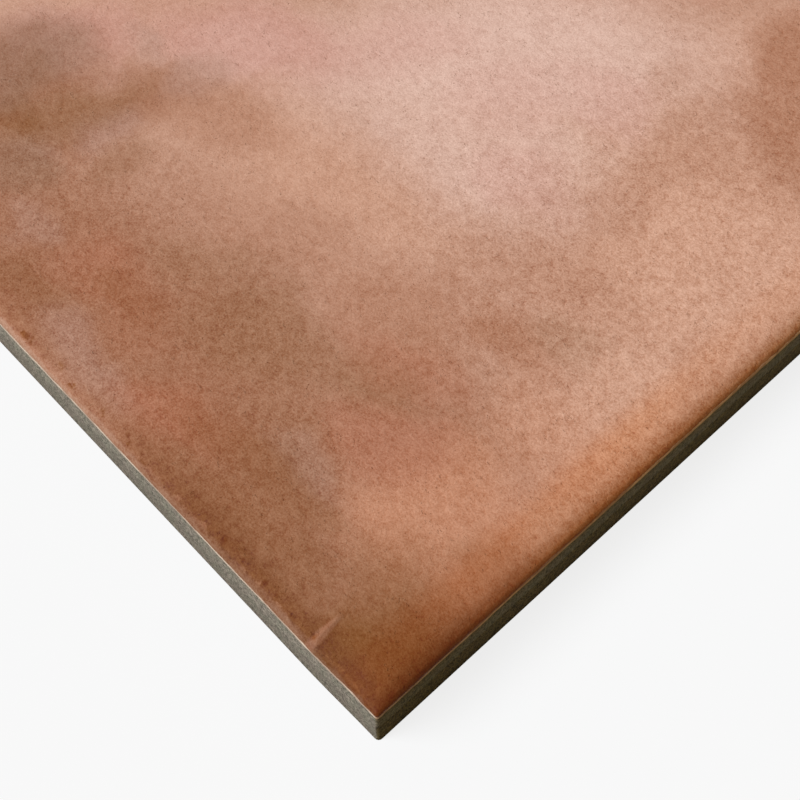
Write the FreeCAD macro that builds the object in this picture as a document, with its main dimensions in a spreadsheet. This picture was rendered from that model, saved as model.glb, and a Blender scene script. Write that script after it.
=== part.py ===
"""Glazed porcelain floor tile with a terracotta face, pressed and fired as one piece.

The tile lies face up on its back. The origin is the middle of its underside, +Z points out of the
face, and the sides run along X and Y. Millimetres.

A pressed tile isn't a plain slab, and its solid follows the press:
- the upper band of the side wall is upright, where the tile meets its joint;
- the lower band leans inwards, so that the tile leaves its die;
- the face rolls down gently towards all four sides, and ends in a small round arris;
- the back is a honeycomb of shallow sunk cells for the adhesive, inside a plain border.
"""

import math
import os

import FreeCAD
import Part
import Sketcher

NODE = "floor_tile"

# Driving dimensions. Each is one cell of the sheet, and angles are in degrees.
SIZES = {
    "tile_side": 200.0,  # square outline of the upright band
    "tile_thickness": 9.0,  # from the back's border to the flat of the face
    "corner_radius": 0.45,  # round of the four upright corners
    "lower_band": 4.0,  # height of the leaning lower band
    "lower_draft": 3.0,  # lean of the lower band
    "rim_width": 3.4,  # how far in from the side the face starts to roll down
    "rim_radius": 8.0,  # radius of that roll
    "arris_radius": 0.4,  # round between the roll and the upright band
    "cell_flats": 16.0,  # across the flats of a honeycomb cell, at the back
    "cell_depth": 0.6,  # depth of a cell
    "cell_draft": 30.0,  # slope of a cell's walls from upright
    "rib_width": 2.5,  # rib between two cells, at the back
    "back_border": 8.0,  # plain border round the honeycomb, at the least
}

# How far a cutting profile reaches past the solid.
OVERSHOOT = 2.0

doc = FreeCAD.newDocument("FloorTile")


def make_sheet():
    """The spreadsheet of driving dimensions, one row each: name and value."""
    sheet = doc.addObject("Spreadsheet::Sheet", "Sizes")
    for row, (alias, value) in enumerate(SIZES.items(), start=1):
        sheet.set(f"A{row}", alias)
        sheet.set(f"B{row}", str(value))
        sheet.setAlias(f"B{row}", alias)
    doc.recompute()
    return sheet


def value_of(alias):
    """A driving dimension as the sheet has it now."""
    return float(doc.Sizes.get(alias))


def origin_feature(body, role):
    """A plane or axis of the body's own origin, by its role."""
    return next(f for f in body.Origin.OriginFeatures if f.Role == role)


def make_sketch(body, name, role):
    """An empty sketch on one of the body's origin planes."""
    sketch = body.newObject("Sketcher::SketchObject", name)
    sketch.AttachmentSupport = [(origin_feature(body, role), "")]
    sketch.MapMode = "FlatFace"
    doc.recompute()
    return sketch


def bind(sketch, kind, *where, to):
    """Adds a dimension to the sketch and ties it to an expression in the sheet's names."""
    sketch.addConstraint(Sketcher.Constraint(kind, *where))
    sketch.setExpression(f"Constraints[{sketch.ConstraintCount - 1}]", to)


def rounded_square(sketch):
    """The tile's outline: a square centred on the origin, with its four corners rounded."""
    half = value_of("tile_side") / 2
    radius = value_of("corner_radius")
    flat = half - radius
    turns = [(1, 1), (-1, 1), (-1, -1), (1, -1)]
    lines = []
    arcs = []
    for step, (sx, sy) in enumerate(turns):
        centre = FreeCAD.Vector(sx * flat, sy * flat, 0)
        start = math.radians(90 * step)
        circle = Part.Circle(centre, FreeCAD.Vector(0, 0, 1), radius)
        arcs.append(sketch.addGeometry(Part.ArcOfCircle(circle, start, start + math.pi / 2)))
    sides = [((flat, half), (-flat, half)), ((-half, flat), (-half, -flat))]
    sides += [((-flat, -half), (flat, -half)), ((half, -flat), (half, flat))]
    for (x1, y1), (x2, y2) in sides:
        segment = Part.LineSegment(FreeCAD.Vector(x1, y1, 0), FreeCAD.Vector(x2, y2, 0))
        lines.append(sketch.addGeometry(segment))
    for step in range(4):
        sketch.addConstraint(Sketcher.Constraint("Tangent", arcs[step], 2, lines[step], 1))
        sketch.addConstraint(Sketcher.Constraint("Tangent", lines[step], 2, arcs[(step + 1) % 4], 1))
        lie = "Horizontal" if step % 2 == 0 else "Vertical"
        sketch.addConstraint(Sketcher.Constraint(lie, lines[step]))
    for step in range(1, 4):
        sketch.addConstraint(Sketcher.Constraint("Equal", arcs[0], arcs[step]))
    sketch.addConstraint(Sketcher.Constraint("Equal", lines[0], lines[1]))
    sketch.addConstraint(Sketcher.Constraint("Symmetric", lines[0], 1, lines[2], 1, -1, 1))
    bind(sketch, "Radius", arcs[0], radius, to="Sizes.corner_radius")
    bind(sketch, "DistanceY", lines[2], 1, lines[0], 1, 2 * half, to="Sizes.tile_side")


def press_bands(body):
    """The two bands of the side wall, both pressed from the outline where they meet."""
    outline = make_sketch(body, "Outline", "XY_Plane")
    outline.setExpression("AttachmentOffset.Base.z", "Sizes.lower_band")
    rounded_square(outline)

    upper = body.newObject("PartDesign::Pad", "UpperBand")
    upper.Profile = outline
    upper.setExpression("Length", "Sizes.tile_thickness - Sizes.lower_band")

    lower = body.newObject("PartDesign::Pad", "LowerBand")
    lower.Profile = outline
    lower.Reversed = True
    lower.setExpression("Length", "Sizes.lower_band")
    lower.setExpression("TaperAngle", "-Sizes.lower_draft")
    doc.recompute()


def roll_section(sketch):
    """What the die takes off one side, seen along the side: from the flat of the face down the roll,
    round the arris to the side wall, and back outside the solid. The sketch's x runs outwards."""
    edge = value_of("tile_side") / 2
    top = value_of("tile_thickness")
    width = value_of("rim_width")
    radius = value_of("rim_radius")
    small = value_of("arris_radius")
    normal = FreeCAD.Vector(0, 0, 1)

    start = FreeCAD.Vector(edge - width, top, 0)
    middle = start - FreeCAD.Vector(0, radius, 0)
    drop = math.sqrt((radius - small) ** 2 - (width - small) ** 2)
    small_middle = middle + FreeCAD.Vector(width - small, drop, 0)
    turn = math.atan2(drop, width - small)
    wall = FreeCAD.Vector(edge, small_middle.y, 0)
    outside = wall + FreeCAD.Vector(OVERSHOOT, 0, 0)
    above = FreeCAD.Vector(outside.x, top + OVERSHOOT, 0)
    back = FreeCAD.Vector(start.x, above.y, 0)

    roll = sketch.addGeometry(Part.ArcOfCircle(Part.Circle(middle, normal, radius), turn, math.pi / 2))
    arris = sketch.addGeometry(Part.ArcOfCircle(Part.Circle(small_middle, normal, small), 0, turn))
    lines = []
    for begin, end in ((wall, outside), (outside, above), (above, back), (back, start)):
        lines.append(sketch.addGeometry(Part.LineSegment(begin, end)))
    out, up, over, down = lines

    sketch.addConstraint(Sketcher.Constraint("Tangent", arris, 2, roll, 1))
    sketch.addConstraint(Sketcher.Constraint("Coincident", arris, 1, out, 1))
    sketch.addConstraint(Sketcher.Constraint("Coincident", out, 2, up, 1))
    sketch.addConstraint(Sketcher.Constraint("Coincident", up, 2, over, 1))
    sketch.addConstraint(Sketcher.Constraint("Coincident", over, 2, down, 1))
    sketch.addConstraint(Sketcher.Constraint("Coincident", down, 2, roll, 2))
    sketch.addConstraint(Sketcher.Constraint("Horizontal", out))
    sketch.addConstraint(Sketcher.Constraint("Vertical", up))
    sketch.addConstraint(Sketcher.Constraint("Horizontal", over))
    sketch.addConstraint(Sketcher.Constraint("Vertical", down))
    sketch.addConstraint(Sketcher.Constraint("Vertical", roll, 3, roll, 2))
    sketch.addConstraint(Sketcher.Constraint("Horizontal", arris, 3, arris, 1))
    bind(sketch, "Radius", roll, radius, to="Sizes.rim_radius")
    bind(sketch, "Radius", arris, small, to="Sizes.arris_radius")
    bind(sketch, "DistanceX", -1, 1, roll, 2, start.x, to="Sizes.tile_side / 2 - Sizes.rim_width")
    bind(sketch, "DistanceX", -1, 1, arris, 1, edge, to="Sizes.tile_side / 2")
    bind(sketch, "DistanceY", -1, 1, roll, 2, top, to="Sizes.tile_thickness")
    sketch.addConstraint(Sketcher.Constraint("DistanceX", out, 1, out, 2, OVERSHOOT))
    sketch.addConstraint(Sketcher.Constraint("DistanceY", down, 2, down, 1, OVERSHOOT))


def roll_rim(body):
    """Rolls the face down along one side, then repeats that on all four."""
    section = make_sketch(body, "RimSection", "XZ_Plane")
    roll_section(section)
    cut = body.newObject("PartDesign::Pocket", "RimRoll")
    cut.Profile = section
    cut.Type = "ThroughAll"
    cut.SideType = "Symmetric"
    doc.recompute()

    sides = body.newObject("PartDesign::PolarPattern", "RimRollSides")
    sides.Originals = [cut]
    sides.Axis = (origin_feature(body, "Z_Axis"), [""])
    sides.Angle = 360.0
    sides.Occurrences = 4
    body.Tip = sides
    doc.recompute()


def hexagon(sketch, right, up):
    """A honeycomb cell's outline: two flats upright, and its centre tied to two expressions."""
    radius = value_of("cell_flats") / math.sqrt(3)
    centre = FreeCAD.Vector(sketch.evalExpression(right), sketch.evalExpression(up), 0)
    through_corners = Part.Circle(centre, FreeCAD.Vector(0, 0, 1), radius)
    circle = sketch.addGeometry(through_corners, True)
    corners = []
    for step in range(6):
        angle = math.radians(60 * step + 30)
        corners.append(centre + FreeCAD.Vector(radius * math.cos(angle), radius * math.sin(angle), 0))
    flats = []
    for step in range(6):
        flats.append(sketch.addGeometry(Part.LineSegment(corners[step], corners[(step + 1) % 6])))
    for step in range(6):
        sketch.addConstraint(Sketcher.Constraint("Coincident", flats[step], 2, flats[(step + 1) % 6], 1))
        sketch.addConstraint(Sketcher.Constraint("PointOnObject", flats[step], 1, circle))
    for step in range(1, 6):
        sketch.addConstraint(Sketcher.Constraint("Equal", flats[0], flats[step]))
    sketch.addConstraint(Sketcher.Constraint("Vertical", flats[5]))
    bind(sketch, "Radius", circle, radius, to="Sizes.cell_flats / sqrt(3)")
    bind(sketch, "DistanceX", -1, 1, circle, 3, centre.x, to=right)
    bind(sketch, "DistanceY", -1, 1, circle, 3, centre.y, to=up)


def sink_cells(body):
    """Sinks the back's honeycomb: two grids of cells, the second set in the gaps of the first."""
    pitch = "(Sizes.cell_flats + Sizes.rib_width)"
    rise = f"({pitch} * sqrt(3))"
    field = "(Sizes.tile_side - 2 * Sizes.back_border)"
    across = f"(floor(({field} - Sizes.cell_flats) / {pitch}) + 1)"
    along = f"(floor(({field} - 2 * Sizes.cell_flats / sqrt(3)) / {rise}) + 1)"
    grids = {"Cells": 0, "CellsBetween": 1}
    for name, fewer in grids.items():
        columns = f"({across} - {fewer})"
        rows = f"({along} - {fewer})"
        outline = make_sketch(body, f"{name}Outline", "XY_Plane")
        hexagon(outline, f"-({columns} - 1) * {pitch} / 2", f"-({rows} - 1) * {rise} / 2")
        doc.recompute()
        cell = body.newObject("PartDesign::Pocket", f"{name}First")
        cell.Profile = outline
        cell.Reversed = True
        cell.setExpression("Length", "Sizes.cell_depth")
        cell.setExpression("TaperAngle", "-Sizes.cell_draft")
        doc.recompute()
        grid = body.newObject("PartDesign::LinearPattern", name)
        grid.Originals = [cell]
        grid.Direction = (origin_feature(body, "X_Axis"), [""])
        grid.Direction2 = (origin_feature(body, "Y_Axis"), [""])
        grid.setExpression("Length", f"({columns} - 1) * {pitch}")
        grid.setExpression("Length2", f"({rows} - 1) * {rise}")
        grid.setExpression("Occurrences", columns)
        grid.setExpression("Occurrences2", rows)
        body.Tip = grid
        doc.recompute()


def check(body):
    """Stops if an object failed, or if the tile isn't one valid solid."""
    failed = [o.Name for o in doc.Objects if "Invalid" in o.State or "Error" in o.State]
    if failed:
        raise SystemExit(f"failed objects: {failed}")
    if body.Shape.isNull() or not body.Shape.isValid() or len(body.Shape.Solids) != 1:
        raise SystemExit(f"{body.Label} isn't one valid solid")


def main():
    make_sheet()
    tile = doc.addObject("PartDesign::Body", "FloorTileBody")
    tile.Label = NODE
    press_bands(tile)
    roll_rim(tile)
    sink_cells(tile)
    doc.recompute()
    check(tile)
    os.makedirs("parts", exist_ok=True)
    tile.Shape.exportStep(f"parts/{tile.Label}.step")
    box = tile.Shape.BoundBox
    print(f"{tile.Label}: {box.XLength:.3f} x {box.YLength:.3f} x {box.ZLength:.3f} mm, "
          f"{tile.Shape.Volume / 1000:.2f} cm3, {len(tile.Shape.Faces)} faces")


main()
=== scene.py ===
import math

import bmesh
import bpy
from mathutils import Matrix


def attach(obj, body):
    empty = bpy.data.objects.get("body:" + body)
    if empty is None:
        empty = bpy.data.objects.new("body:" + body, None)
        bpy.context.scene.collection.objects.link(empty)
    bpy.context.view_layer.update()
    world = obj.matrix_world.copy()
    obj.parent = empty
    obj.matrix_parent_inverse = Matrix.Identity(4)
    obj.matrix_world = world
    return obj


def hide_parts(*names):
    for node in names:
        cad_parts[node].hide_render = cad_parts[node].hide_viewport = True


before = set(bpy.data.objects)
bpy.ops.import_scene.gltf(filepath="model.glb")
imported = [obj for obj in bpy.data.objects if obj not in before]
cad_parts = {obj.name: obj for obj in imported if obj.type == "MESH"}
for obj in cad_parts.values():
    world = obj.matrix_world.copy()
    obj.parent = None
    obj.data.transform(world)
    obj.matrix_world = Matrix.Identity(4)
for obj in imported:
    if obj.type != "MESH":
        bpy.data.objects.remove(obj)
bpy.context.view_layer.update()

# ---------------------------------------------------------------------------------------------
# The pressed body
# Warm grey porcelain powder, pressed flat in a steel die. The upper band of its side is upright
# and meets the joint; the lower band leans in, so that the tile leaves the die.

MM = 0.001
tile_side = 200 * MM
tile_thickness = 9 * MM
corner_round = 0.45 * MM
corner_lines = 4
lower_band = 4 * MM
lower_band_lean = math.radians(3)
half_side = tile_side / 2
foot_half_side = half_side - lower_band * math.tan(lower_band_lean)
hair = 0.01 * MM

bpy.ops.object.select_all(action="DESELECT")
bpy.ops.mesh.primitive_cube_add(
    size=1, location=(0, 0, tile_thickness / 2), scale=(tile_side, tile_side, tile_thickness)
)
tile = bpy.context.object
tile.name = "glazed_floor_tile"
bpy.ops.object.transform_apply(location=True, rotation=False, scale=True)


def pick(piece, kind, wanted):
    """In edit mode, leaves selected only the piece's faces or edges that are wanted."""
    bpy.ops.mesh.select_mode(type=kind)
    bpy.ops.mesh.select_all(action="DESELECT")
    shape = bmesh.from_edit_mesh(piece.data)
    for part in shape.faces if kind == "FACE" else shape.edges:
        if wanted(part):
            part.select_set(True)
    bmesh.update_edit_mesh(piece.data)


def is_upright(edge):
    a, b = (v.co for v in edge.verts)
    return abs(a.z - b.z) > hair


def all_at_height(part, height):
    return all(abs(v.co.z - height) < hair for v in part.verts)


bpy.ops.object.mode_set(mode="EDIT")
pick(tile, "EDGE", is_upright)
bpy.ops.mesh.bevel(offset=corner_round, segments=corner_lines)
bpy.ops.mesh.select_all(action="SELECT")
bpy.ops.mesh.bisect(plane_co=(0, 0, lower_band), plane_no=(0, 0, 1))
pick(tile, "FACE", lambda face: all_at_height(face, 0))
foot_share = foot_half_side / half_side
bpy.ops.transform.resize(value=(foot_share, foot_share, 1), center_override=(0, 0, 0))

# ---------------------------------------------------------------------------------------------
# The rim
# The glaze ends in a small round arris on all four sides, and the face rolls down towards it.
# The mesh gets its close lines here, so that the roll, the waves and the worn edge have shape.

arris = 0.4 * MM
arris_lines = 3
rim_width = 3.4 * MM
rim_radius = 8 * MM
rim_line_depths = [0.55, 0.9, 1.25, 1.6, 1.95, 2.3, 2.65, 3.0, 3.4, 3.85, 4.4, 5.0]
wall_line_heights = [0.35, 0.9, 2.0, 3.1, 3.6, 4.3, 4.7, 5.4, 6.3, 7.2, 8.0, 8.45]
coarse_squares = 27
squares_in_each = 8

pick(tile, "FACE", lambda face: all_at_height(face, tile_thickness))
bpy.ops.mesh.bevel(offset=arris, segments=arris_lines)


def is_above_back(face):
    return face.calc_center_median().z > hair


for depth in rim_line_depths:
    for sign in (-1, 1):
        for along in ((1, 0, 0), (0, 1, 0)):
            pick(tile, "FACE", is_above_back)
            place = [axis * sign * (half_side - depth * MM) for axis in along]
            bpy.ops.mesh.bisect(plane_co=place, plane_no=along)
for height in wall_line_heights:
    pick(tile, "FACE", lambda face: is_above_back(face) and not all_at_height(face, tile_thickness))
    bpy.ops.mesh.bisect(plane_co=(0, 0, height * MM), plane_no=(0, 0, 1))

# A short fold in the glaze slip, near the corner at +X, -Y, gets close lines of its own, given
# here as shares of its half width.
fold_x = 91.6 * MM
fold_start = -99.3 * MM
fold_end = -94.9 * MM
fold_half_width = 0.42 * MM
fold_lines = (-1.0, -0.6, -0.3, 0.0, 0.3, 0.6, 1.0)


def is_by_fold(face):
    middle = face.calc_center_median()
    is_beside = abs(middle.x - fold_x) < 4 * fold_half_width
    return middle.z > 8 * MM and is_beside and middle.y < fold_end + 0.5 * MM


# The face and the long strips round it are cut into squares, first coarse ones and then small
# ones in each, with the back left open meanwhile.
pick(tile, "FACE", lambda face: all_at_height(face, 0))
bpy.ops.mesh.delete(type="ONLY_FACE")
for axis in (0, 1):
    for longest, pieces in ((half_side, coarse_squares), (5 * MM, squares_in_each)):

        def is_long(edge):
            a, b = (v.co for v in edge.verts)
            return abs(a[axis] - b[axis]) > longest

        pick(tile, "EDGE", is_long)
        bpy.ops.mesh.subdivide(number_cuts=pieces - 1)
for line in fold_lines:
    pick(tile, "FACE", is_by_fold)
    bpy.ops.mesh.bisect(plane_co=(fold_x + line * fold_half_width, 0, 0), plane_no=(1, 0, 0))
pick(tile, "EDGE", lambda edge: edge.is_boundary)
bpy.ops.mesh.edge_face_add()
bpy.ops.object.mode_set(mode="OBJECT")

# ---------------------------------------------------------------------------------------------
# The back
# A honeycomb of shallow sunk cells, pressed by the lower die, gives the adhesive its key. The
# ribs between the cells are level with the plain border, and the tile rests on both.

cell_flats = 16 * MM
cell_depth = 0.6 * MM
cell_wall_lean = math.radians(30)
rib = 2.5 * MM
first_cell = (-83.25 * MM, -80.107 * MM)
cell_pitch = cell_flats + rib
row_pitch = cell_pitch * math.sqrt(3)
below_back = 0.3 * MM
cell_soft_edge = 0.15 * MM


def cell_radius(height):
    """Centre to corner of a cell, at a height above the back."""
    return (cell_flats / 2 - height * math.tan(cell_wall_lean)) / math.cos(math.pi / 6)


def cell_punch(centre, columns, rows):
    """The raised part of the die that presses a field of cells, as it stands in the powder."""
    bpy.ops.object.select_all(action="DESELECT")
    bpy.ops.mesh.primitive_cone_add(
        vertices=6,
        radius1=cell_radius(-below_back),
        radius2=cell_radius(cell_depth),
        depth=cell_depth + below_back,
        location=(*centre, (cell_depth - below_back) / 2),
    )
    punch = bpy.context.object
    bpy.ops.object.transform_apply(location=True, rotation=False, scale=True)
    bpy.ops.object.mode_set(mode="EDIT")
    pick(punch, "FACE", lambda face: all_at_height(face, cell_depth))
    bpy.ops.mesh.bevel(offset=cell_soft_edge, segments=2)
    bpy.ops.mesh.select_all(action="SELECT")
    bpy.ops.mesh.bisect(plane_co=(0, 0, cell_soft_edge), plane_no=(0, 0, 1))
    pick(punch, "FACE", lambda face: all_at_height(face, -below_back))
    flare = cell_radius(-5 * cell_soft_edge) / cell_radius(-below_back)
    bpy.ops.transform.resize(value=(flare, flare, 1), center_override=(*centre, 0))
    bpy.ops.object.mode_set(mode="OBJECT")
    for count, step in ((columns, (cell_pitch, 0, 0)), (rows, (0, row_pitch, 0))):
        repeat = punch.modifiers.new("repeat", "ARRAY")
        repeat.count = count
        repeat.use_relative_offset = False
        repeat.use_constant_offset = True
        repeat.constant_offset_displace = step
        bpy.ops.object.modifier_apply(modifier=repeat.name)
    return punch


# Two fields of cells, the second set between the first's columns and rows.
second_cell = (first_cell[0] + cell_pitch / 2, first_cell[1] + row_pitch / 2)
for punch in (cell_punch(first_cell, columns=10, rows=6), cell_punch(second_cell, columns=9, rows=5)):
    bpy.context.view_layer.objects.active = tile
    press = tile.modifiers.new("press", "BOOLEAN")
    press.operation = "DIFFERENCE"
    press.solver = "EXACT"
    press.object = punch
    bpy.ops.object.modifier_apply(modifier=press.name)
    bpy.data.objects.remove(punch)

# ---------------------------------------------------------------------------------------------
# The face and its waves
# The press leaves the face a little uneven, as hand-made terracotta is, and the firing moves the
# rim and the side walls by a few hundredths of a millimetre.

bpy.ops.object.select_all(action="DESELECT")
tile.select_set(True)
bpy.context.view_layer.objects.active = tile


def depth_from(side_place):
    """How far a place is in from the side that it is nearest to."""
    return half_side - abs(side_place)


def roll_at(depth):
    """Share of the whole roll that the face has lost at this depth from the side."""
    if depth >= rim_width:
        return 0
    whole = rim_radius - math.sqrt(rim_radius**2 - rim_width**2)
    lost = rim_radius - math.sqrt(rim_radius**2 - (rim_width - max(depth, 0)) ** 2)
    return lost / whole


def roll_share(place):
    if place.z <= tile_thickness - arris - hair:
        return max(place.z - lower_band, 0) / (tile_thickness - arris - lower_band)
    a, b = (roll_at(depth_from(side_place)) for side_place in (place.x, place.y))
    return a + b - a * b


def fade(value, start, end):
    """0 at start, 1 at end, smooth between."""
    share = min(max((value - start) / (end - start), 0), 1)
    return share * share * (3 - 2 * share)


def nearest_depth(place):
    return min(depth_from(place.x), depth_from(place.y))


def move(piece, name, share, direction, strength, wave_size=None, mid=0.0):
    """One pressing or firing movement: each point goes by its share of the strength, and where a
    wave size is given the strength comes and goes in soft waves of that size."""
    group = piece.vertex_groups.new(name=name)
    for point in piece.data.vertices:
        weight = share(point.co)
        if weight > 0.0005:
            group.add([point.index], min(weight, 1), "REPLACE")
    push = piece.modifiers.new(name, "DISPLACE")
    push.vertex_group = name
    push.direction = direction
    push.strength = strength
    push.mid_level = mid
    if wave_size:
        push.texture = bpy.data.textures.new(name, "CLOUDS")
        push.texture.noise_scale = wave_size
        push.texture_coords = "LOCAL"
    bpy.ops.object.modifier_apply(modifier=name)
    piece.vertex_groups.clear()


rim_drop = rim_radius - math.sqrt(rim_radius**2 - rim_width**2)
move(tile, "roll", roll_share, "Z", -rim_drop)


def on_face(place):
    return 1 if place.z > tile_thickness - rim_drop - arris + 0.05 * MM else 0


def off_rim(place):
    return on_face(place) * fade(nearest_depth(place), 0.3 * MM, 2.5 * MM)


move(tile, "long_waves", on_face, "Z", -0.12 * MM, wave_size=24 * MM)
move(tile, "hand_texture", off_rim, "Z", -0.07 * MM, wave_size=4.5 * MM)
move(tile, "small_texture", off_rim, "Z", -0.04 * MM, wave_size=1.9 * MM)


def near_wall(place):
    """The side walls and the rim, but not the back or the middle of the face."""
    return fade(nearest_depth(place), 1.4 * MM, 0.3 * MM) * fade(place.z, 0.05 * MM, 0.8 * MM)


def near_band_break(place):
    return fade(abs(place.z - lower_band), 1.2 * MM, 0) if nearest_depth(place) < 0.6 * MM else 0


move(tile, "wall_waves", near_wall, "NORMAL", -0.07 * MM, wave_size=9 * MM)
move(tile, "arris_waves", near_wall, "NORMAL", -0.05 * MM, wave_size=2.0 * MM)
move(tile, "band_break", near_band_break, "Z", 0.5 * MM, wave_size=6 * MM, mid=0.5)

# The side that faces -Y eases inwards by a fifth of a millimetre before the corner at +X, -Y.
eased_side = 0.18 * MM
eased_length = 10 * MM
eased_depth = 6 * MM


def near_eased_corner(place):
    along = fade(place.x, half_side - eased_length, half_side)
    return along * fade(place.y, -half_side + eased_depth, -half_side + 0.5 * MM)


move(tile, "eased_side", near_eased_corner, "Y", eased_side)

# The fold stands up from a shallow bed, so that its top stays under the tile's height.
fold_rise = 0.18 * MM
fold_bed = 0.075 * MM
fold_bed_reach = 9 * MM


def on_fold(place):
    if place.z < tile_thickness - rim_drop - fold_bed:
        return 0
    across = fade(abs(place.x - fold_x), fold_half_width, 0)
    rises = fade(place.y, fold_start - 0.3 * MM, fold_start + 0.5 * MM)
    sinks_again = fade(place.y, fold_end, fold_start + 1.5 * MM)
    return across * rises * sinks_again


def round_fold(place):
    off_fold = math.hypot(place.x - fold_x, place.y - (fold_start + fold_end) / 2)
    return fade(off_fold, fold_bed_reach, 2.5 * MM) if place.z > tile_thickness - 0.6 * MM else 0


move(tile, "fold_bed", round_fold, "Z", -fold_bed)
move(tile, "fold", on_fold, "Z", fold_rise)

bpy.ops.object.mode_set(mode="EDIT")
bpy.ops.mesh.select_all(action="SELECT")
bpy.ops.mesh.normals_make_consistent(inside=False)
bpy.ops.object.mode_set(mode="OBJECT")
bpy.ops.object.shade_smooth_by_angle(angle=math.radians(35))

# ---------------------------------------------------------------------------------------------
# The finish
# Bare mottled grey body below, then a hairline of cream engobe, then the matt glaze. The glaze is
# washed in clouds from pale pink to brown, sandy to the touch, with fine pits, browner where it pools
# beside the rim and paler where it is thin, on the arris. Some colour is painted light: a sheen in the
# pale pink clouds near the corner, a highlight on the fold and a shadow beside it, shade on the
# shoulders that face X, and shade on the walls. Lengths here are in millimetres.

finish = bpy.data.materials.new("fired_tile")
finish.use_nodes = True
finish.node_tree.nodes.clear()


def fired(red, green, blue):
    """A colour as read off a colour card, 0 to 255, as the shader takes it."""
    card = (red / 255, green / 255, blue / 255)
    linear = [c / 12.92 if c <= 0.04045 else ((c + 0.055) / 1.055) ** 2.4 for c in card]
    return (*linear, 1)


def stage_of(kind, feeds=(), **settings):
    """One stage of the finish: a node, its settings, and what feeds each of its sockets."""
    node = finish.node_tree.nodes.new(kind)
    for name, value in settings.items():
        setattr(node, name, value)
    for socket, value in dict(feeds).items():
        if isinstance(value, bpy.types.NodeSocket):
            finish.node_tree.links.new(value, node.inputs[socket])
        else:
            node.inputs[socket].default_value = value
    return node


def maths(operation, *values):
    return stage_of("ShaderNodeMath", enumerate(values), operation=operation).outputs[0]


def colour_maths(operation, *values):
    """The same on all three channels of a colour, or on the three parts of a place."""
    return stage_of("ShaderNodeVectorMath", enumerate(values), operation=operation).outputs[0]


def measured(operation, *places):
    """One number from one or two places, such as the distance between them."""
    return stage_of("ShaderNodeVectorMath", enumerate(places), operation=operation).outputs["Value"]


def scaled(colour, factor):
    """A colour or a place, all of it times one value."""
    return stage_of("ShaderNodeVectorMath", {0: colour, "Scale": factor}, operation="SCALE").outputs[0]


def times(first, *others):
    for other in others:
        first = maths("MULTIPLY", first, other)
    return first


def blend(share, start, end):
    """Goes evenly from one value to another by a share from 0 to 1."""
    feeds = [(0, share), (2, start), (3, end)]
    return stage_of("ShaderNodeMix", feeds, data_type="FLOAT").outputs[0]


def steps(value, start, end, low=0.0, high=1.0):
    """Goes smoothly from low to high while the value goes from start to end."""
    return stage_of(
        "ShaderNodeMapRange",
        {"Value": value, "From Min": start, "From Max": end, "To Min": low, "To Max": high},
        interpolation_type="SMOOTHSTEP",
    ).outputs["Result"]


def grain(place, size, detail=2.0, roughness=0.5, shift=0.0):
    """Noise whose grains are about this many millimetres, around 0.5."""
    return stage_of(
        "ShaderNodeTexNoise",
        {"Vector": place, "W": shift, "Scale": 1 / size, "Detail": detail, "Roughness": roughness},
        noise_dimensions="4D",
    ).outputs["Fac"]


def fine_grain(place, size, detail=2.0, roughness=0.5):
    """The same without a shift, for grains whose size no other pattern has."""
    feeds = {"Vector": place, "Scale": 1 / size, "Detail": detail, "Roughness": roughness}
    return stage_of("ShaderNodeTexNoise", feeds).outputs["Fac"]


def wash(under, colour, amount, way="MIX"):
    """Lays a colour over what is under it, by an amount from 0 to 1."""
    feeds = [(0, amount), (6, under), (7, colour)]
    settings = {"data_type": "RGBA", "blend_type": way, "clamp_factor": True}
    return stage_of("ShaderNodeMix", feeds, **settings).outputs[2]


def tint(under, colour, amount):
    """Darkens or warms what is under it, channel by channel, by an amount from 0 to 1."""
    return wash(under, colour, amount, "MULTIPLY")


in_metres = stage_of("ShaderNodeTexCoord").outputs["Object"]
place = scaled(in_metres, 1 / MM)
x, y, height = stage_of("ShaderNodeSeparateXYZ", {0: place}).outputs
side_x = maths("SUBTRACT", half_side / MM, maths("ABSOLUTE", x))
side_y = maths("SUBTRACT", half_side / MM, maths("ABSOLUTE", y))
depth = maths("MINIMUM", side_x, side_y)
on_y_sides = steps(maths("SUBTRACT", side_x, side_y), -0.2, 0.2)
on_x_sides = maths("SUBTRACT", 1.0, on_y_sides)

# The clouds are brushed on flat, so they read the place from above, drawn aside by soft noise.
drift = stage_of("ShaderNodeTexNoise", {"Vector": place, "Scale": 0.11, "Detail": 3.0})
drift_way = colour_maths("SUBTRACT", drift.outputs["Color"], (0.5, 0.5, 0.5))
drift_reach = (9.0, 9.0, 0.0)
drifted = colour_maths("MULTIPLY_ADD", drift_way, drift_reach, place)
from_above = colour_maths("MULTIPLY", drifted, (1.0, 1.0, 0.0))


def dab(dab_x, dab_y, length, width, turn, strength):
    """One soft dab of the brush: an ellipse that fades out towards its border."""
    if turn:
        cosine, sine = math.cos(math.radians(turn)), math.sin(math.radians(turn))
        along = (cosine / length, sine / length, 0)
        across = (-sine / width, cosine / width, 0)
        ways = [measured("DOT_PRODUCT", from_above, way) for way in (along, across)]
        seen = stage_of("ShaderNodeCombineXYZ", enumerate(ways)).outputs[0]
        centre = (along[0] * dab_x + along[1] * dab_y, across[0] * dab_x + across[1] * dab_y, 0)
        off_centre = measured("DISTANCE", seen, centre)
    else:
        shrink, back = (1 / length, 1 / width, 0), (-dab_x / length, -dab_y / width, 0)
        seen = colour_maths("MULTIPLY_ADD", from_above, shrink, back)
        off_centre = measured("LENGTH", seen)
    return steps(off_centre, 1.0, 0.25, 0.0, strength)


def dabs(*places):
    """All the dabs of one wash, as one amount. Each is x, y, length, width, turn and strength."""
    amount = dab(*places[0])
    for more in places[1:]:
        amount = maths("MAXIMUM", amount, dab(*more))
    return amount


glaze = wash(fired(190, 143, 119), fired(204, 160, 138), steps(grain(place, 46), 0.35, 0.65))

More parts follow.
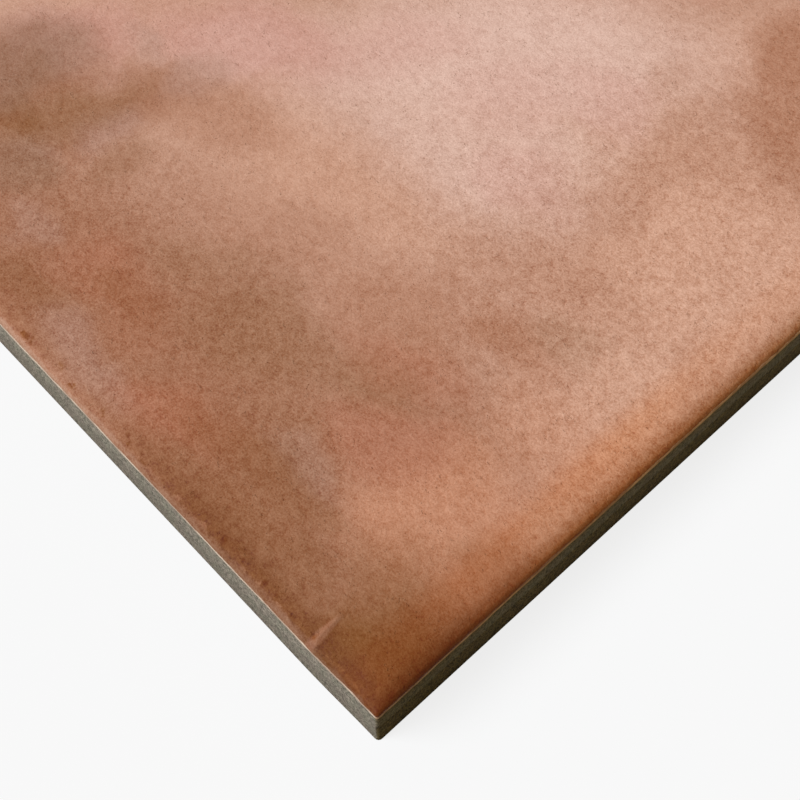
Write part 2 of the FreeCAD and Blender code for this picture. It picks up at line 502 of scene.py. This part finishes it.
light_tan = dabs(
    (90, -46, 22, 26, 0, 0.9),
    (55, -66, 24, 9, 8, 0.6),
    (94, -64, 8, 16, 0, 0.8),
    (76, -22, 8, 8, 0, 0.5),
    (10, -60, 30, 20, 20, 0.7),
    (-60, -30, 45, 25, 70, 0.8),
    (-20, 70, 50, 22, -15, 0.8),
    (70, 40, 22, 40, 10, 0.7),
)
glaze = wash(glaze, fired(206, 158, 133), light_tan)

# Pale pink clouds. Near the corner at +X, -Y they are partly a painted sheen, a soft reflection
# painted into the colour over the glaze's own pink.
pale_pink_and_sheen = dabs(
    (56, -43, 34, 17, 49, 0.95),
    (64, -51, 18, 14, 0, 0.75),
    (54, -55, 9, 5, 0, 0.7),
    (68, -33, 10, 8, 20, 0.4),
    (52, -57, 10, 5, 10, 0.4),
    (38, -62, 9, 6, 40, 0.8),
    (20, -20, 40, 24, 35, 0.9),
    (-55, 45, 42, 24, -30, 0.8),
    (40, 78, 30, 14, 10, 0.7),
    (-75, -70, 16, 30, 12, 0.6),
)
glaze = wash(glaze, fired(219, 182, 166), pale_pink_and_sheen)

rose = dabs(
    (37, -61, 20, 9, 35, 0.75),
    (68, -39, 10, 7, 0, 0.35),
    (70, -52, 7, 5, 0, 0.35),
    (47, -50, 14, 7, 45, 0.4),
    (62, -46, 10, 8, 0, 0.3),
    (24, -75, 12, 8, 40, 0.9),
    (-30, 10, 26, 12, 60, 0.6),
    (85, 10, 10, 28, 0, 0.5),
    (-85, 75, 14, 22, 30, 0.6),
)
glaze = wash(glaze, fired(203, 152, 137), rose)

brown = dabs(
    (60, -93, 66, 23, 4, 1.0),
    (80, -80, 24, 13, 10, 0.8),
    (33, -83, 8, 18, -14, 1.0),
    (26, -79, 9, 10, 10, 1.0),
    (35, -73, 6, 9, -30, 0.9),
    (21, -78, 6, 5, 0, 0.6),
    (20, -84, 12, 9, 0, 0.9),
    (28, -85, 7, 5, 0, 0.9),
    (51, -91, 9, 5, 0, 0.5),
    (-40, -85, 50, 18, -6, 0.9),
    (-15, -55, 28, 10, 40, 0.5),
    (-82, 5, 16, 38, 8, 0.8),
    (10, 35, 34, 15, -35, 0.7),
    (80, 80, 26, 18, 40, 0.8),
)
glaze = wash(glaze, fired(162, 111, 84), brown)

bloom = dabs(
    (25, -75, 6, 4, 0, 0.4),
    (30, -69, 4, 3, 0, 0.5),
    (40, -92, 5, 3, 0, 0.3),
    (36, -78, 4, 6, 0, 0.5),
    (37, -68, 5, 4, 0, 0.5),
    (33, -85, 4, 5, 0, 0.4),
    (57, -97, 10, 4, 0, 0.4),
    (79, -89, 7, 4, 0, 0.35),
    (-50, -80, 14, 6, 20, 0.5),
    (30, 40, 18, 6, -35, 0.5),
)
glaze = wash(glaze, fired(182, 143, 127), bloom)

shadow_tan = dabs(
    (78, -44, 5, 36, 3, 0.4),
    (84, -28, 12, 10, -35, 1.0),
    (78, -21, 6, 9, 45, 1.0),
    (71, -32, 4, 6, 0, 0.3),
    (76, -20, 5, 5, 0, 0.6),
    (80, -65, 5, 3, 0, 0.8),
    (76, -73, 8, 5, 0, 0.9),
    (82, -67, 9, 5, 10, 1.0),
    (77, -63, 4, 4, 0, 0.5),
    (43, -69, 9, 6, 20, 0.6),
    (80, -38, 6, 6, 0, 0.5),
    (75, -54, 6, 8, 0, 0.25),
    (75, -65, 6, 4, 0, 0.6),
    (79, -59, 14, 7, 10, 0.5),
    (84, -36, 6, 5, 0, 0.3),
    (85, -69, 5, 4, 0, 0.4),
    (78, -26, 6, 8, 0, 0.4),
    (74, -74, 8, 4, 10, 0.6),
    (60, -74, 20, 6, 12, 0.4),
    (74, -71, 14, 8, 15, 0.8),
)
glaze = wash(glaze, fired(176, 125, 99), shadow_tan)

orange_tan = dabs(
    (91, -84, 10, 13, 0, 0.9),
    (92, -72, 10, 10, 0, 0.5),
    (-10, -88, 20, 8, 5, 0.5),
)
glaze = wash(glaze, fired(194, 136, 106), orange_tan)

olive = dabs(
    (66, -83, 14, 7, 8, 0.55),
    (77, -87, 9, 6, 8, 0.3),
    (76, -79, 8, 4, 8, 0.55),
    (26, -82, 4, 4, 0, 0.35),
    (34, -88, 5, 4, 0, 0.5),
    (32, -81, 5, 13, -12, 0.7),
    (56, -81, 9, 5, 20, 0.4),
    (52, -92, 6, 4, 0, 0.35),
    (86, -63, 6, 3, 5, 0.35),
)
glaze = wash(glaze, fired(151, 106, 76), olive)

# Away from the corner at +X, -Y, whose clouds are all dabbed one by one, smaller clouds drift about.
away = steps(maths("SUBTRACT", x, y), 94.0, 76.0)
tan_drift = times(steps(fine_grain(drifted, 15, 2.0, 0.6), 0.47, 0.66, 0.0, 0.75), away)
pink_drift = times(steps(fine_grain(drifted, 19, 2.0, 0.6), 0.48, 0.68, 0.0, 0.6), away)
rose_drift = times(steps(fine_grain(drifted, 12, 2.0, 0.6), 0.52, 0.70, 0.0, 0.6), away)
glaze = wash(glaze, fired(170, 120, 94), tan_drift)
glaze = wash(glaze, fired(214, 172, 153), pink_drift)
glaze = wash(glaze, fired(192, 132, 112), rose_drift)

red_clay = dabs(
    (67, -94, 9, 5, 20, 0.6),
    (78, -76, 10, 4, 10, 0.35),
    (82, -82, 9, 6, 10, 0.5),
    (51, -90, 10, 6, 0, 0.4),
)
glaze = wash(glaze, fired(177, 112, 85), red_clay)

umber = dabs(
    (98, -98, 15, 16, 0, 0.92),
    (84, -92, 6, 4, 0, 0.35),
    (97, -85, 6, 7, 0, 0.35),
    (97, -88, 5, 8, 0, 0.3),
    (54, -89, 6, 4, 0, 0.25),
    (85, -98, 26, 7, 0, 0.5),
    (28, -84, 5, 4, 0, 0.5),
    (47, -96, 8, 3, 0, 0.3),
    (77, -93, 17, 5, 0, 0.4),
    (41, -80, 4, 5, 0, 0.3),
    (-100, -100, 20, 14, 45, 0.8),
    (100, 100, 18, 14, 45, 0.8),
    (-100, 100, 22, 15, -45, 0.8),
)
glaze = wash(glaze, fired(126, 76, 31), umber)

smoke = dabs(
    (22, -80, 9, 10, 0, 0.6),
    (34, -88, 6, 5, 0, 0.4),
    (-70, -60, 20, 9, 50, 0.4),
    (-30, 85, 24, 8, -10, 0.4),
)
glaze = wash(glaze, fired(146, 110, 90), smoke)

# Brown glaze pools beside the rim: ragged and patchy on the sides that face Y, even on the others.
x_pool_brown = (0.46, 0.26, 0.02, 1)
y_pool_brown = (0.60, 0.46, 0.25, 1)
ragged = maths("SUBTRACT", grain(place, 2.6, 4.0, 0.7, 1.0), 0.5)
fine_ragged = maths("SUBTRACT", grain(place, 1.3, 3.0, 0.75, 16.0), 0.5)
patchy = steps(grain(place, 16, 2.0, 0.5, 2.0), 0.36, 0.60, 0.06, 0.42)
pooled = maths("MAXIMUM", patchy, dabs((84, -100, 27, 10, 0, 1.0), (66, -100, 14, 8, 0, 0.35)))
pool_start = steps(maths("MULTIPLY_ADD", fine_ragged, 1.9, depth), 0.50, 0.80, 0.12, 1.0)
pool_end = steps(maths("MULTIPLY_ADD", ragged, 3.0, depth), 3.9, 1.0)
y_pool = times(pool_end, pool_start, pooled)
x_pool = steps(maths("MULTIPLY_ADD", ragged, 0.8, depth), 2.3, -0.4)
pool = blend(on_y_sides, x_pool, y_pool)

# On the very edge the glaze is thin and worn. The fold near one corner is worn in the same way, and
# its pale top is partly a painted highlight.
worn_noise = steps(grain(place, 3, 4.0, 0.65, 3.0), 0.3, 0.7, 0.4, 1.6)
worn_width = times(maths("MULTIPLY_ADD", on_y_sides, 0.28, 0.08), worn_noise)
worn_edge = steps(maths("DIVIDE", depth, worn_width), 1.3, 0.7)
from_fold = maths("ABSOLUTE", maths("SUBTRACT", x, fold_x / MM))
fold_reach = steps(y, -96.0, -99.0, 0.35, 0.65)
across_fold = steps(maths("DIVIDE", from_fold, fold_reach), 1.0, 0.35)
along_fold = steps(y, fold_end / MM - 0.6, fold_end / MM - 2.8)
fold_wear_and_highlight = times(across_fold, along_fold)
wear_and_fold_highlight = maths("MAXIMUM", worn_edge, fold_wear_and_highlight)
pool = times(pool, maths("MULTIPLY_ADD", wear_and_fold_highlight, -0.8, 1.0))

# A warm shoulder on the sides that face X, partly painted shade beside the rim, then the pools, then
# small drops inside the pools.
shoulder_warm_shade = (0.95, 0.78, 0.62, 1)
drop_brown = (0.66, 0.48, 0.22, 1)
warm_shaded_shoulder = times(steps(side_x, 6.5, 3.5), steps(y, -46, -68, 0.3, 1.0))
glaze = tint(glaze, shoulder_warm_shade, warm_shaded_shoulder)
glaze = tint(glaze, wash(x_pool_brown, y_pool_brown, on_y_sides), pool)
drops = times(steps(grain(place, 1.7, 3.0, 0.7, 15.0), 0.55, 0.65), on_y_sides)
drop_band = times(steps(depth, 0.4, 0.75), steps(depth, 1.9, 1.1))
glaze = tint(glaze, drop_brown, times(drops, drop_band))

# The strip on the edge itself, greyer towards the corner at +X, -Y, and pale where it is worn; on the
# fold the pale is partly a painted highlight.
edge_grey = (0.64, 0.58, 0.52, 1)
edge_strip = times(steps(depth, 0.85, 0.35), on_y_sides, steps(x, 48, 84, 0.1, 1.0))
glaze = tint(glaze, edge_grey, edge_strip)
worn_pale = steps(x, 46, 78, 0.36, 0.10)
glaze = wash(glaze, fired(190, 158, 138), times(wear_and_fold_highlight, worn_pale))
# The fold's pinker top: wear and, in part, a painted highlight.
glaze = wash(glaze, fired(190, 128, 106), times(fold_wear_and_highlight, 0.19))


def spot(spot_x, spot_y, size):
    """A darker spot on the rim, this many millimetres across: a drop of darker glaze, and beside the
    fold a painted shadow.
    """
    return steps(measured("DISTANCE", place, (spot_x, spot_y, 8.7)), 0.6 * size, 0.2 * size)


drop_and_shadow_brown = (0.66, 0.42, 0.12, 1)
# The first spot is a painted shadow on the -X side of the fold's lower end; the others are drops of
# darker glaze on the rim.
drops_and_fold_shadow = spot(fold_x / MM - 0.35, fold_start / MM + 0.2, 0.8)
for drop in ((79.3, -98.9, 1.0), (84.8, -98.9, 0.8), (86.3, -98.9, 0.6), (81.9, -98.9, 0.6)):
    drops_and_fold_shadow = maths("MAXIMUM", drops_and_fold_shadow, spot(*drop))
glaze = tint(glaze, drop_and_shadow_brown, drops_and_fold_shadow)

# Sand and leathery press marks darken and lighten the glaze, more in some places than in others.
# They show as much in dark glaze as in light, but never take more than half of a colour away.
leather = fine_grain(place, 0.85, 3.0, 0.72)
sand = fine_grain(place, 0.19, 2.0, 0.85)
sandy = dabs((95, -50, 60, 45, 0, 0.8), (60, -92, 60, 24, 0, 0.6), (-60, 60, 70, 50, 30, 0.4))
sand_tone = maths("MULTIPLY_ADD", sand, 0.86, -0.43)
tone = maths("MULTIPLY_ADD", maths("SUBTRACT", leather, 0.5), 0.70, sand_tone)
tone = times(tone, maths("MULTIPLY_ADD", sandy, 0.70, 0.69), maths("MULTIPLY_ADD", umber, -0.2, 1.0))
tone = maths("MULTIPLY_ADD", maths("MINIMUM", tone, 0.0), 0.2, tone)
reach_by_channel = (0.60, 0.65, 0.65)
tone_reach = stage_of("ShaderNodeGamma", {"Color": glaze, "Gamma": 0.5}).outputs[0]
tone_reach = colour_maths("MULTIPLY", tone_reach, reach_by_channel)
darkest = scaled(glaze, 0.5)
glaze = colour_maths("MAXIMUM", colour_maths("MULTIPLY_ADD", tone_reach, tone, glaze), darkest)

# Fine dark pits, in loose groups.
pit_dark = (0.74, 0.66, 0.58, 1)
pit_groups = times(fine_grain(place, 2.2, 1.0, 0.6), 0.25)
pits = steps(maths("ADD", fine_grain(place, 0.36, 2.0, 0.6), pit_groups), 0.47, 0.38)
glaze = tint(glaze, pit_dark, times(pits, 0.5))

# The bare body: speckled grey, here greener and there pinker, drawn up the side by the die.
from_die = colour_maths("MULTIPLY", place, (1.0, 1.0, 0.6))
body_patches = steps(grain(from_die, 1.3, 3.0, 0.7, 8.0), 0.38, 0.62)
body = wash(fired(135, 129, 116), fired(140, 130, 119), body_patches)
on_wall = steps(depth, 0.6, 0.4)
low_band = times(steps(height, 4.9, 4.3), on_wall)
low_on_x = times(low_band, on_x_sides)
speckle = maths("SUBTRACT", fine_grain(from_die, 0.22, 2.0, 0.8), 0.5)
speckle = times(speckle, maths("MULTIPLY_ADD", low_on_x, 2.0, 3.4))
mottle = maths("SUBTRACT", fine_grain(from_die, 0.9, 2.0, 0.6), 0.5)
mottle = times(mottle, maths("MULTIPLY_ADD", low_on_x, 1.0, 0.6))
body = scaled(body, maths("MAXIMUM", maths("ADD", maths("ADD", speckle, mottle), 1.0), 0.25))

# The lower band is darker, a painted shade that is browner on the sides that face X. Painted shade
# also darkens the foot of the sides that face Y and, warmly, the top of the sides that face X under
# the glaze's edge, and each wall changes a little towards the corner at -Y.
x_low_band_shade = (0.62, 0.55, 0.38, 1)
y_low_band_shade = (0.85, 0.84, 0.84, 1)
foot_shade = (0.88, 0.86, 0.85, 1)
under_glaze_shade = (0.90, 0.82, 0.68, 1)
dim_end_olive = (0.80, 0.76, 0.64, 1)
# Painted shade: the lower band darker, and browner on the sides that face X.
body = tint(body, wash(x_low_band_shade, y_low_band_shade, on_y_sides), low_band)
# Painted shade: darker towards the foot on the sides that face Y.
body = tint(body, foot_shade, times(steps(height, 2.0, 0.2), on_y_sides, on_wall))
# Painted shade under the glaze's edge: warmer and darker at the top of the sides that face X.
body = tint(body, under_glaze_shade, times(steps(height, 5.6, 7.2), on_x_sides))
dim_end = times(steps(y, -82, -97), on_x_sides, on_wall)
body = tint(body, dim_end_olive, dim_end)

# The engobe, warmer on the sides that face X.
x_engobe_warm = (1.32, 1.03, 0.80, 1)
engobe_dim = (0.70, 0.73, 0.80, 1)
cream_patches = steps(grain(place, 1.6, 2.0, 0.5, 10.0), 0.4, 0.6)
cream = wash(fired(226, 203, 184), fired(192, 166, 148), cream_patches)
cream = tint(cream, x_engobe_warm, on_x_sides)
cream = tint(cream, engobe_dim, dim_end)

# Where the layers end: uneven lines that sink along the sides, with the glaze running over the
# engobe in places.
engobe_from = (7.60, 7.72)
glaze_from = (8.24, 8.32)
uneven = times(maths("SUBTRACT", grain(place, 1.6, 3.0, 0.7, 11.0), 0.5), 0.4)
sinks = blend(on_y_sides, steps(y, -58, -74, 0.27, 0.40), steps(x, 90, 40, 0.22, 0.68))
off_corner = maths("ADD", side_x, side_y)
sinks = maths("ADD", sinks, steps(off_corner, 3.0, 0.3, 0.0, 0.15))
layer_height = maths("ADD", maths("ADD", height, uneven), sinks)
at_corner = steps(off_corner, 0.65, 0.26, 0.0, 0.5)
is_engobe = steps(maths("ADD", layer_height, at_corner), *engobe_from)
runs = blend(on_y_sides, steps(y, -66, -94, 0.02, 0.19), steps(x, 52, 76, 0.0, 0.18))
is_glaze = steps(maths("ADD", layer_height, runs), *glaze_from)
colour = wash(wash(body, cream, is_engobe), glaze, is_glaze)

# Relief too fine for the mesh: orange peel, sand and pits in the glaze, press grain in the body.
peel_relief = 0.085
sand_relief = 0.024
pit_relief = 0.03
body_relief = 0.05
glaze_height = maths("ADD", times(leather, peel_relief), times(sand, sand_relief))
glaze_height = maths("SUBTRACT", glaze_height, times(pits, pit_relief))
body_height = times(fine_grain(place, 0.5, 2.0, 0.65), body_relief)
relief = blend(steps(height, 8.15, 8.35), body_height, glaze_height)
bump = stage_of("ShaderNodeBump", {"Height": relief, "Distance": MM, "Strength": 1.0})

bare_roughness = 0.95
glaze_roughness = steps(leather, 0.3, 0.7, 0.58, 0.74)
fired_surface = stage_of(
    "ShaderNodeBsdfPrincipled",
    {
        "Base Color": colour,
        "Roughness": blend(is_glaze, bare_roughness, glaze_roughness),
        "Specular IOR Level": steps(is_glaze, 0.0, 1.0, 0.04, 0.14),
        "Normal": bump.outputs[0],
    },
)
stage_of("ShaderNodeOutputMaterial", {"Surface": fired_surface.outputs[0]})

tile.data.materials.clear()
tile.data.materials.append(finish)
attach(tile, "root")
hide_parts("floor_tile")

# ---------------------------------------------------------------------------------------------
# The studio floor
# A level sheet of pale paper that runs on past the view. It keeps the tile's soft shadow, and
# throws only a little warm light back onto the tile's sides.

floor_size = 6.0
below_tile = 0.02 * MM
bpy.ops.mesh.primitive_plane_add(size=floor_size, location=(0, 0, -below_tile))
floor = bpy.context.object
floor.name = "paper_floor"
paper = bpy.data.materials.new("pale_paper")
paper.use_nodes = True
sheet = paper.node_tree
sheet.nodes.clear()
paper_white = (0.94, 0.94, 0.94, 1)
paper_thrown = (0.25, 0.24, 0.16, 1)
shadow_share = 0.12
plain = sheet.nodes.new("ShaderNodeEmission")
plain.inputs["Color"].default_value = paper_white
shaded = sheet.nodes.new("ShaderNodeBsdfDiffuse")
shaded.inputs["Color"].default_value = paper_white
seen_paper = sheet.nodes.new("ShaderNodeMixShader")
seen_paper.inputs[0].default_value = shadow_share
sheet.links.new(plain.outputs[0], seen_paper.inputs[1])
sheet.links.new(shaded.outputs[0], seen_paper.inputs[2])
thrown_light = sheet.nodes.new("ShaderNodeBsdfDiffuse")
thrown_light.inputs["Color"].default_value = paper_thrown
rays = sheet.nodes.new("ShaderNodeLightPath")
either = sheet.nodes.new("ShaderNodeMath")
either.operation = "MAXIMUM"
sheet.links.new(rays.outputs["Is Camera Ray"], either.inputs[0])
sheet.links.new(rays.outputs["Is Glossy Ray"], either.inputs[1])
any_seen = sheet.nodes.new("ShaderNodeMath")
any_seen.operation = "MAXIMUM"
sheet.links.new(either.outputs[0], any_seen.inputs[0])
sheet.links.new(rays.outputs["Is Transmission Ray"], any_seen.inputs[1])
whole_paper = sheet.nodes.new("ShaderNodeMixShader")
sheet.links.new(any_seen.outputs[0], whole_paper.inputs[0])
sheet.links.new(thrown_light.outputs[0], whole_paper.inputs[1])
sheet.links.new(seen_paper.outputs[0], whole_paper.inputs[2])
paper_out = sheet.nodes.new("ShaderNodeOutputMaterial")
sheet.links.new(whole_paper.outputs[0], paper_out.inputs["Surface"])
floor.data.materials.append(paper)

# ---------------------------------------------------------------------------------------------
# The studio light
# One broad soft lamp, half high, from the left of the camera, and a faint warm light all round.

lamp_height = math.radians(48.5)
lamp_turn = math.radians(25)
lamp_breadth = math.radians(32)
lamp_level = 0.87
lamp_colour = (1.0, 1.052, 1.115)
fill_colour = (1.0, 0.65, 0.23, 1)
fill_level = 0.13
lamp_light = bpy.data.lights.new("broad_lamp", "SUN")
lamp_light.energy = lamp_level * math.pi / math.sin(lamp_height)
lamp_light.angle = lamp_breadth
lamp_light.color = lamp_colour
lamp = bpy.data.objects.new("broad_lamp", lamp_light)
lamp.rotation_euler = (math.pi / 2 - lamp_height, 0, -lamp_turn)
bpy.context.scene.collection.objects.link(lamp)

room = bpy.data.worlds.new("studio")
room.use_nodes = True
bpy.context.scene.world = room
air = room.node_tree
air.nodes.clear()
fill = air.nodes.new("ShaderNodeBackground")
fill.inputs["Color"].default_value = fill_colour
fill.inputs["Strength"].default_value = fill_level
white = air.nodes.new("ShaderNodeBackground")
white.inputs["Color"].default_value = (1, 1, 1, 1)
white.inputs["Strength"].default_value = 1.0
air_rays = air.nodes.new("ShaderNodeLightPath")
air_either = air.nodes.new("ShaderNodeMath")
air_either.operation = "MAXIMUM"
air.links.new(air_rays.outputs["Is Camera Ray"], air_either.inputs[0])
air.links.new(air_rays.outputs["Is Glossy Ray"], air_either.inputs[1])
air_seen = air.nodes.new("ShaderNodeMath")
air_seen.operation = "MAXIMUM"
air.links.new(air_either.outputs[0], air_seen.inputs[0])
air.links.new(air_rays.outputs["Is Transmission Ray"], air_seen.inputs[1])
air_mix = air.nodes.new("ShaderNodeMixShader")
air.links.new(air_seen.outputs[0], air_mix.inputs[0])
air.links.new(fill.outputs[0], air_mix.inputs[1])
air.links.new(white.outputs[0], air_mix.inputs[2])
air_out = air.nodes.new("ShaderNodeOutputWorld")
air.links.new(air_mix.outputs[0], air_out.inputs["Surface"])

# ---------------------------------------------------------------------------------------------
# The camera
# It looks steeply down on the corner at +X, -Y, and most of the tile runs out of the picture.

image_side = 800
lens_in_pixels = 1450
film_width = 36
camera_place = (0.12698, -0.12165, 0.12529)
camera_turn = math.radians(47.412)
camera_dip = math.radians(61.15)
camera_roll = math.radians(-0.555)
camera_look = bpy.data.cameras.new("camera")
camera_look.sensor_width = film_width
camera_look.lens = lens_in_pixels / image_side * film_width
camera_look.clip_start = 0.001
camera = bpy.data.objects.new("camera", camera_look)
camera.matrix_world = (
    Matrix.Translation(camera_place)
    @ Matrix.Rotation(camera_turn, 4, "Z")
    @ Matrix.Rotation(math.pi / 2 - camera_dip, 4, "X")
    @ Matrix.Rotation(camera_roll, 4, "Z")
)
bpy.context.scene.collection.objects.link(camera)
bpy.context.scene.camera = camera
bpy.context.scene.view_settings.view_transform = "Standard"
